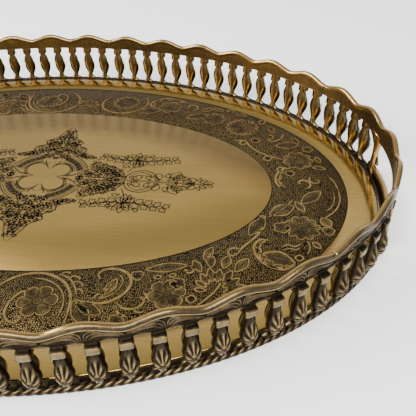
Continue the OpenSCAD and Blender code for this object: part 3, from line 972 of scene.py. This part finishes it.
# One baluster, from foot to neck: share of the opening's height, half-widths of its flat back and
# of its round front as shares of the pitch, how far the front stands out, how square it is, how worn
BALUSTER = [
    (-0.03, 0.33, 0.33, 0.0, 0.7, 0.05), (0.02, 0.32, 0.28, 0.2, 0.7, 0.10),
    (0.045, 0.20, 0.12, 1.4, 0.9, 0.30), (0.08, 0.15, 0.11, 2.1, 0.9, 0.40),
    (0.12, 0.145, 0.13, 2.7, 0.9, 0.40),
    (0.16, 0.11, 0.165, 3.4, 0.9, 0.35), (0.20, 0.10, 0.205, 4.2, 0.9, 0.32),
    (0.25, 0.12, 0.25, 4.9, 0.9, 0.30), (0.31, 0.16, 0.30, 5.4, 0.9, 0.25),
    (0.37, 0.20, 0.325, 5.6, 0.9, 0.22),
    (0.43, 0.235, 0.325, 5.5, 0.9, 0.20), (0.49, 0.265, 0.305, 5.1, 0.9, 0.20),
    (0.55, 0.28, 0.27, 4.6, 0.9, 0.20), (0.60, 0.285, 0.235, 4.0, 0.9, 0.20),
    (0.67, 0.26, 0.195, 3.4, 0.9, 0.18),
    (0.73, 0.22, 0.165, 2.9, 0.9, 0.16), (0.78, 0.17, 0.145, 2.4, 0.9, 0.10),
    (0.805, 0.15, 0.135, 2.1, 0.9, 0.03), (0.818, 0.15, 0.135, 2.0, 0.8, 0.03),
    (0.83, 0.215, 0.225, 3.0, 0.4, 0.34),
    (0.845, 0.235, 0.24, 3.4, 0.35, 0.50), (0.90, 0.235, 0.242, 3.25, 0.35, 0.40),
    (0.95, 0.23, 0.24, 3.4, 0.35, 0.50), (0.97, 0.215, 0.225, 3.0, 0.4, 0.34),
    (0.982, 0.21, 0.18, 1.2, 0.6, 0.0),
    (0.995, 0.25, 0.20, 0.4, 0.7, 0.0), (1.01, 0.33, 0.26, -0.2, 0.7, 0.0),
    (1.03, 0.42, 0.34, -0.5, 0.7, 0.0), (1.06, 0.48, 0.40, -0.8, 0.7, 0.0)]
FRONT_STEPS = 22
LEAF_HEART = 0.33
LEAF_RIDGES = 9
STRAND_ROWS = 10


def baluster_mesh():
    bits = Bits()
    table = np.array(BALUSTER)
    shares = np.unique(np.concatenate([table[:, 0], np.linspace(0.1, 0.84, 27)]))
    back, front, stand, square, worn = (np.interp(shares, table[:, 0], column) for column in table.T[1:])
    height = LEDGE + shares * (RAIL_LOW - LEDGE)
    angle = np.linspace(0, math.pi, FRONT_STEPS + 1)
    heart = LEDGE + LEAF_HEART * (RAIL_LOW - LEDGE)
    verts, wear = [], []
    for share, z, b, w, d, q, v in zip(shares, height, back * PITCH, front * PITCH, stand, square, worn):
        x = w * np.sign(np.cos(angle)) * np.abs(np.cos(angle)) ** q
        y = WALL_OUT - 0.5 + (d + 0.5) * np.abs(np.sin(angle)) ** q
        rise = z - heart
        up = rise * (0.42 if rise > 0 else 0.8)
        away = np.hypot(x * 1.15, up)
        lobes = np.abs(np.cos(LEAF_RIDGES / 2 * np.arctan2(x, up + 1e-6))) ** 1.8
        near, far = np.clip((away - 0.6) / 0.9, 0, 1), np.clip((6.2 - away) / 1.4, 0, 1)
        reach = near * far * np.sin(angle) ** 0.6 * (0.04 < share < 0.83)
        y = y + (lobes - 0.5) * 1.7 * reach
        # The front is rubbed bright along its middle; its darkening towards both sides is painted shade.
        row_wear_and_side_shade = v * np.sin(angle) ** 0.7 * (1 - reach) + reach * np.clip(lobes * 0.85 - 0.22, -0.1, 0.58)
        verts += [(b, WALL_IN + 0.15, z), (b, WALL_OUT - 0.9, z)] + list(zip(x, y, np.full(len(x), z)))
        verts += [(-b, WALL_OUT - 0.9, z), (-b, WALL_IN + 0.15, z), (0, WALL_IN + 0.15, z)]
        wear += [0.50, 0.28] + list(row_wear_and_side_shade) + [0.28, 0.50, 0.36]
    bits.add(verts, swept(len(shares), FRONT_STEPS + 6), wear)
    return casting_mesh("baluster", bits)


def strand_mesh(spacing):
    """One strand of the rope moulding, slanting over the outside of its core."""
    bits = Bits()
    around = np.radians(np.linspace(118, -66, STRAND_ROWS))
    verts, wear = [], []
    for i, a in enumerate(around):
        lean = (a - math.radians(30)) * 3.3
        end = 0.15 if i in (0, STRAND_ROWS - 1) else 1.0
        for across, swell, v in ((-0.44, -0.1, 0.0), (-0.30, 0.28, 0.16), (-0.08, 0.36, 0.42),
            (0.16, 0.30, 0.38), (0.30, -0.1, 0.0)):
            r = ROPE_RADIUS + swell * end
            verts.append((across * spacing - lean, ROPE_OUT + r * math.cos(a),
                ROPE_HEIGHT + r * math.sin(a)))
            wear.append(v * (0.35 + 0.65 * max(0.0, math.sin(a + 0.5))))
    faces = [(5 * i + j, 5 * i + j + 1, 5 * i + j + 6, 5 * i + j + 5)
        for i in range(STRAND_ROWS - 1) for j in range(4)]
    bits.add(verts, faces, wear)
    return casting_mesh("strand", bits)


def add_float(mesh, key, values):
    """Stores a number on each vertex, for the trees and materials to read."""
    values = np.asarray(values, np.float32)
    mesh.attributes.new(key, "FLOAT", "POINT").data.foreach_set("value", values)


def casting_mesh(name, bits):
    mesh = build_mesh(name, np.concatenate(bits.verts), bits.faces)
    closed = bmesh.new()
    closed.from_mesh(mesh)
    bmesh.ops.recalc_face_normals(closed, faces=closed.faces)
    closed.to_mesh(mesh)
    closed.free()
    for key, store, scale in (("worn", bits.worn, 1.0), ("rise", bits.rise, 1.0), ("along", bits.along, MM)):
        add_float(mesh, key, np.concatenate(store).astype(np.float32) * scale)
    return mesh


def headings(lengths):
    """Which way is outwards, at each length round the gallery."""
    turn = turn_at(np.asarray(lengths, float))
    return np.arctan2(PAN_HALF_LENGTH * np.sin(turn), PAN_HALF_WIDTH * np.cos(turn)) - math.pi / 2


def places_mesh(name, lengths):
    """Places along the pan's edge, each with the heading of a piece that faces outwards there."""
    mesh = build_mesh(name, on_gallery(lengths, 0.0, 0.0), [])
    add_float(mesh, "heading", headings(lengths))
    return mesh


def loose_object(name, mesh):
    thing = bpy.data.objects.new(name, mesh)
    bpy.context.scene.collection.objects.link(thing)
    return thing


def new_tree(name, inputs):
    """A tree that takes a piece and some named settings, and gives the piece back."""
    tree = bpy.data.node_groups.new(name, "GeometryNodeTree")
    for label, kind in [("Geometry", "Geometry")] + inputs:
        tree.interface.new_socket(label, in_out="INPUT", socket_type="NodeSocket" + kind)
    tree.interface.new_socket("Geometry", in_out="OUTPUT", socket_type="NodeSocketGeometry")
    return tree, tree.nodes, tree.links, tree.nodes.new("NodeGroupInput").outputs


def maths(nodes, links, operation, *values):
    node = nodes.new("ShaderNodeMath")
    node.operation = operation
    for socket, value in zip(node.inputs, values):
        if isinstance(value, bpy.types.NodeSocket):
            links.new(value, socket)
        else:
            socket.default_value = value
    return node.outputs[0]


def named(nodes, attribute):
    node = nodes.new("GeometryNodeInputNamedAttribute")
    node.data_type = "FLOAT"
    node.inputs["Name"].default_value = attribute
    return node.outputs["Attribute"]


def stood_at(nodes, links, places, thing, size=None):
    """A copy of a thing at each place, turned to the place's heading."""
    shape, facing = nodes.new("GeometryNodeObjectInfo"), nodes.new("ShaderNodeCombineXYZ")
    stood = nodes.new("GeometryNodeInstanceOnPoints")
    links.new(thing, shape.inputs["Object"])
    links.new(named(nodes, "heading"), facing.inputs["Z"])
    links.new(places, stood.inputs["Points"])
    links.new(shape.outputs["Geometry"], stood.inputs["Instance"])
    links.new(facing.outputs[0], stood.inputs["Rotation"])
    if size is not None:
        links.new(size, stood.inputs["Scale"])
    return stood.outputs[0]


def given_finish(tree, geometry, material):
    """Makes plain mesh of the copies, gives all of it one material, and ends the tree."""
    nodes, links = tree.nodes, tree.links
    real, finish = nodes.new("GeometryNodeRealizeInstances"), nodes.new("GeometryNodeSetMaterial")
    links.new(geometry, real.inputs[0])
    links.new(real.outputs[0], finish.inputs["Geometry"])
    links.new(material, finish.inputs["Material"])
    links.new(finish.outputs[0], nodes.new("NodeGroupOutput").inputs[0])
    return tree


def casting_tree():
    """Lifts the rail to its scallops, stands balusters and rope strands round it, and joins it all."""
    tree, nodes, links, given = new_tree("gallery casting", [
        ("Scallop length", "Float"), ("Scallop height", "Float"), ("Scallop fullness", "Float"),
        ("Baluster", "Object"), ("Baluster places", "Object"), ("Strand", "Object"),
        ("Strand places", "Object"), ("Finish", "Material")])
    calc = partial(maths, nodes, links)
    phase = calc("MULTIPLY", calc("DIVIDE", named(nodes, "along"), given["Scallop length"]), 2 * math.pi)
    wave = calc("SUBTRACT", 0.5, calc("MULTIPLY", calc("COSINE", phase), 0.5))
    full = calc("POWER", calc("MAXIMUM", wave, 0.0), given["Scallop fullness"])
    lift = calc("MULTIPLY", calc("MULTIPLY", full, given["Scallop height"]), named(nodes, "rise"))
    upward, raised = nodes.new("ShaderNodeCombineXYZ"), nodes.new("GeometryNodeSetPosition")
    links.new(lift, upward.inputs["Z"])
    links.new(given["Geometry"], raised.inputs["Geometry"])
    links.new(upward.outputs[0], raised.inputs["Offset"])
    together = nodes.new("GeometryNodeJoinGeometry")
    links.new(raised.outputs[0], together.inputs[0])
    for piece in ("Baluster", "Strand"):
        spots = nodes.new("GeometryNodeObjectInfo")
        links.new(given[piece + " places"], spots.inputs["Object"])
        copies = stood_at(nodes, links, spots.outputs["Geometry"], given[piece])
        links.new(copies, together.inputs[0])
    return given_finish(tree, together.outputs[0], given["Finish"])


def grown(name, mesh, tree, settings):
    """The plain mesh that a tree makes of a piece; the modifier goes no further than this."""
    seed = loose_object(name + "_seed", mesh)
    modifier = seed.modifiers.new("tree", "NODES")
    modifier.node_group = tree
    for item in tree.interface.items_tree:
        if item.item_type == "SOCKET" and item.in_out == "INPUT" and item.name in settings:
            modifier[item.identifier] = settings[item.name]
    bpy.context.view_layer.update()
    shown = seed.evaluated_get(bpy.context.evaluated_depsgraph_get())
    made = bpy.data.meshes.new_from_object(shown)
    made.name = name
    bpy.data.objects.remove(seed)
    return made


def aged_cast_brass():
    """Cast brass gone brown, dark in its hollows and rubbed to warm gold where hands reach."""
    material, nodes, links, shader, where = new_metal("aged_cast_brass")
    # The worn value also carries painted shade on the sides of each baluster's round front.
    worn = nodes.new("ShaderNodeAttribute")
    worn.attribute_name = "worn"
    grain = noise(nodes, links, where, (420, 420, 420), 5.0, Roughness=0.65)
    stain = noise(nodes, links, where, (60, 60, 60), 4.0)
    calc = partial(maths, nodes, links)
    level = calc("MULTIPLY_ADD", grain, GRAIN_SHARE, worn.outputs["Fac"])
    level = calc("SUBTRACT", calc("MULTIPLY_ADD", stain, STAIN_SHARE, level), WEAR_SHIFT)
    colour = ramp(nodes, links, level, [
        (0.0, (0.011, 0.008, 0.005)), (0.2, (0.036, 0.026, 0.014)), (0.45, (0.145, 0.104, 0.048)),
        (0.72, (0.44, 0.28, 0.10)), (1.0, (0.76, 0.47, 0.15))])
    links.new(colour, shader.inputs["Base Color"])
    rough = ramp(nodes, links, level, grey_stops((0.0, 0.48), (0.5, 0.25), (1.0, 0.13)))
    links.new(rough, shader.inputs["Roughness"])
    bumped(nodes, links, shader, grain, 0.0004, 0.22)
    return material


# How much the grain and the stains add to the wear, and what is taken off to centre them
GRAIN_SHARE, STAIN_SHARE, WEAR_SHIFT = 0.34, 0.22, 0.28
AGED_CAST_BRASS = aged_cast_brass()
STRANDS_PER_PITCH = 3.1
# Each side of the middle of an end casting, this many baluster places are left out for the hand
HAND_SEATS = 3
strand_count = round(PITCHES * STRANDS_PER_PITCH)
strand_space = 2 * HALF_CASTING / strand_count
baluster = loose_object("baluster_pattern", baluster_mesh())
strand = loose_object("strand_pattern", strand_mesh(strand_space))
tree = casting_tree()
CASTING_NODES = ["right_handle_casting", "back_right_casting", "back_left_casting", "left_handle_casting",
    "front_left_casting", "front_right_casting"]
for k, node in enumerate(CASTING_NODES):
    mid, handle = casting_middle(k), k in (0, 3)
    bits = Bits()
    add_rail(bits, mid, handle)
    add_foot(bits, mid)
    add_lugs(bits, mid)
    if handle:
        add_hand_hole(bits, mid)
    base = casting_mesh(node + "_base", bits)
    seats = [i for i in range(-(PITCHES // 2), PITCHES // 2 + 1) if not handle or abs(i) > HAND_SEATS]
    baluster_places = loose_object("baluster_places", places_mesh("baluster_places",
        [mid + i * PITCH for i in seats]))
    strand_places = loose_object("strand_places", places_mesh("strand_places",
        [mid - HALF_CASTING + (i + 0.5) * strand_space for i in range(strand_count)]))
    cast = grown(node, base, tree, {
        "Scallop length": SCALLOP * MM, "Scallop height": (CREST - TROUGH) * MM,
        "Scallop fullness": SCALLOP_FULLNESS,
        "Baluster": baluster, "Baluster places": baluster_places, "Strand": strand,
        "Strand places": strand_places, "Finish": AGED_CAST_BRASS})
    add_piece("gallery_" + node, cast, [], [node])
    for spent in (baluster_places, strand_places):
        bpy.data.objects.remove(spent)
    relief = Bits()
    add_band_leaves(relief, mid, handle)
    relief_mesh = build_mesh(node + "_leaves", np.concatenate(relief.verts), relief.faces)
    add_float(relief_mesh, "worn", np.concatenate(relief.worn))
    add_piece("rail_leaves_" + node, relief_mesh, [AGED_CAST_BRASS])
for spent in (baluster, strand):
    bpy.data.objects.remove(spent)

# ---------------------------------------------------------------- solder at the joints
# Soft solder runs into the gap between two castings, at the foot and in the rail. It is
# left as small dull beads, toned brown with age.
BEAD_FACETS = 10
BEAD_ACROSS, BEAD_OUT = 0.85, 1.35


def solder_bead():
    bits = Bits()
    rows = []
    for z, r in ((-1.9, 0.35), (-1.4, 0.8), (-0.4, 1.0), (0.7, 0.95), (1.5, 0.65), (1.9, 0.3)):
        a = np.radians(np.arange(0, 360, 360 // BEAD_FACETS))
        rows.append(np.stack([BEAD_ACROSS * r * np.cos(a), BEAD_OUT * r * np.sin(a), np.full(len(a), z)], 1))
    bits.add(np.concatenate(rows), swept(len(rows), BEAD_FACETS), 0.5)
    return casting_mesh("solder_bead", bits)


def solder_tree():
    """Sets a bead of solder at each place it is given."""
    tree, nodes, links, given = new_tree("solder beads", [
        ("Bead", "Object"), ("Size", "Float"), ("Seed", "Int"), ("Finish", "Material")])
    vary = nodes.new("FunctionNodeRandomValue")
    vary.data_type = "FLOAT"
    vary.inputs[2].default_value, vary.inputs[3].default_value = 0.85, 1.15
    links.new(given["Seed"], vary.inputs["Seed"])
    size = maths(nodes, links, "MULTIPLY", vary.outputs[1], given["Size"])
    return given_finish(tree, stood_at(nodes, links, given["Geometry"], given["Bead"], size), given["Finish"])


SOLDER_STOPS = [(0.3, (0.12, 0.092, 0.055)), (0.7, (0.27, 0.215, 0.135))]
DULL_SOLDER = grained_metal("dull_solder", 500, 4.0, SOLDER_STOPS, 0.5, 0.0004, 0.5)
joints = np.array([casting_middle(k) + HALF_CASTING + JOINT_GAP / 2 for k in range(CASTINGS)])
# Two beads at each joint's foot and two in its rail: distance out and height
BEAD_SEATS = ((2.9, 6.2), (3.0, 4.4), (4.2, RAIL_LOW + 3.2), (4.2, RAIL_LOW + 6.0))
bead_verts = np.concatenate([on_gallery(joints, out, height) for out, height in BEAD_SEATS])
bead_mesh = build_mesh("solder_places", bead_verts, [])
add_float(bead_mesh, "heading", np.tile(headings(joints), len(BEAD_SEATS)))
bead = loose_object("solder_bead_pattern", solder_bead())
beads = grown("joint_solder_beads", bead_mesh, solder_tree(),
    {"Bead": bead, "Size": 1.0, "Seed": 7, "Finish": DULL_SOLDER})
bpy.data.objects.remove(bead)
add_piece("joint_solder_beads", beads, [], ["joint_solder"])

# ---------------------------------------------------------------- studs and nuts under the pan
# Threaded brass studs are brazed under the pan, and steel-grey nuts clamp it to the lugs.
# Both keep their own solids, and only take a finish.


def fixing_metal(name, dark, light, rough):
    return grained_metal(name, 350, 4.0, [(0.3, dark), (0.7, light)], rough, 0.0002, 0.3)


STUD_BRASS = fixing_metal("stud_brass", (0.20, 0.14, 0.06), (0.42, 0.30, 0.13), 0.4)
NUT_STEEL = fixing_metal("nut_steel", (0.16, 0.155, 0.14), (0.42, 0.41, 0.38), 0.36)
for node, metal in (("pan_studs", STUD_BRASS), ("stud_nuts", NUT_STEEL)):
    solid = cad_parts[node]
    solid.data.materials.clear()
    solid.data.materials.append(metal)

# ---------------------------------------------------------------- table, light and camera
# The tray stands on a plain pale table. One soft lamp is to its left and one is in front
# and above, and the room behind it is bright.
FLOOR_HALF = 3.0
TABLE_COLOUR, TABLE_ROUGHNESS = (0.93, 0.935, 0.93, 1), 0.7
TABLE_GLOW_COLOUR, TABLE_GLOW = (0.97, 0.99, 0.97, 1), 0.50
floor_mesh = bpy.data.meshes.new("floor")
h = FLOOR_HALF
floor_mesh.from_pydata([(-h, -h, 0), (h, -h, 0), (h, h, 0), (-h, h, 0)], [], [(0, 1, 2, 3)])
floor = loose_object("floor", floor_mesh)
pale = bpy.data.materials.new("pale_table")
pale.use_nodes = True
pale_shader = pale.node_tree.nodes["Principled BSDF"]
for label, value in (("Base Color", TABLE_COLOUR), ("Roughness", TABLE_ROUGHNESS),
    ("Emission Color", TABLE_GLOW_COLOUR), ("Emission Strength", TABLE_GLOW)):
    pale_shader.inputs[label].default_value = value
floor_mesh.materials.append(pale)

# The room is light beyond the tray and darker behind the viewer
ROOM_DARK, ROOM_LIGHT = 0.64, 1.20
FADE_START, FADE_END = 0.40, 0.90
ROOM_COLOUR = (0.98, 0.99, 1.0, 1)
world = bpy.data.worlds.new("studio")
bpy.context.scene.world = world
world.use_nodes = True
sky = world.node_tree.nodes
sky["Background"].inputs["Color"].default_value = ROOM_COLOUR
heading = sky.new("ShaderNodeTexCoord")
parts = sky.new("ShaderNodeSeparateXYZ")
fade = sky.new("ShaderNodeMapRange")
for label, value in (("From Min", FADE_START), ("From Max", FADE_END), ("To Min", ROOM_DARK),
    ("To Max", ROOM_LIGHT)):
    fade.inputs[label].default_value = value
world.node_tree.links.new(heading.outputs["Generated"], parts.inputs[0])
world.node_tree.links.new(parts.outputs["Y"], fade.inputs["Value"])
world.node_tree.links.new(fade.outputs["Result"], sky["Background"].inputs["Strength"])


LAMP_COLOUR = (1, 0.98, 0.95)


def soft_light(name, place, size, watts):
    """A soft lamp aimed at the middle of the table."""
    lamp = bpy.data.lights.new(name, "AREA")
    lamp.shape = "RECTANGLE"
    lamp.size, lamp.size_y = size
    lamp.energy = watts
    lamp.color = LAMP_COLOUR
    thing = loose_object(name, lamp)
    thing.location = place
    thing.rotation_euler = (-Vector(place)).to_track_quat("-Z", "Y").to_euler()


soft_light("window", place=(-2.2, -0.5, 1.3), size=(2.2, 1.6), watts=170)
soft_light("overhead", place=(0.3, -2.0, 1.5), size=(2.6, 1.4), watts=120)

CAMERA_PLACE = (0.1787, -0.3497, 0.2608)
CAMERA_HEADING = 5.31
CAMERA_TILT = 38.73
LENS_MM, SENSOR_MM = 43.13, 36.0
NEAREST = 0.01
camera_data = bpy.data.cameras.new("camera")
camera_data.lens = LENS_MM
camera_data.sensor_width = SENSOR_MM
camera_data.clip_start = NEAREST
camera = loose_object("camera", camera_data)
camera.location = CAMERA_PLACE
camera.rotation_euler = (math.radians(90 - CAMERA_TILT), 0, math.radians(CAMERA_HEADING))
bpy.context.scene.camera = camera
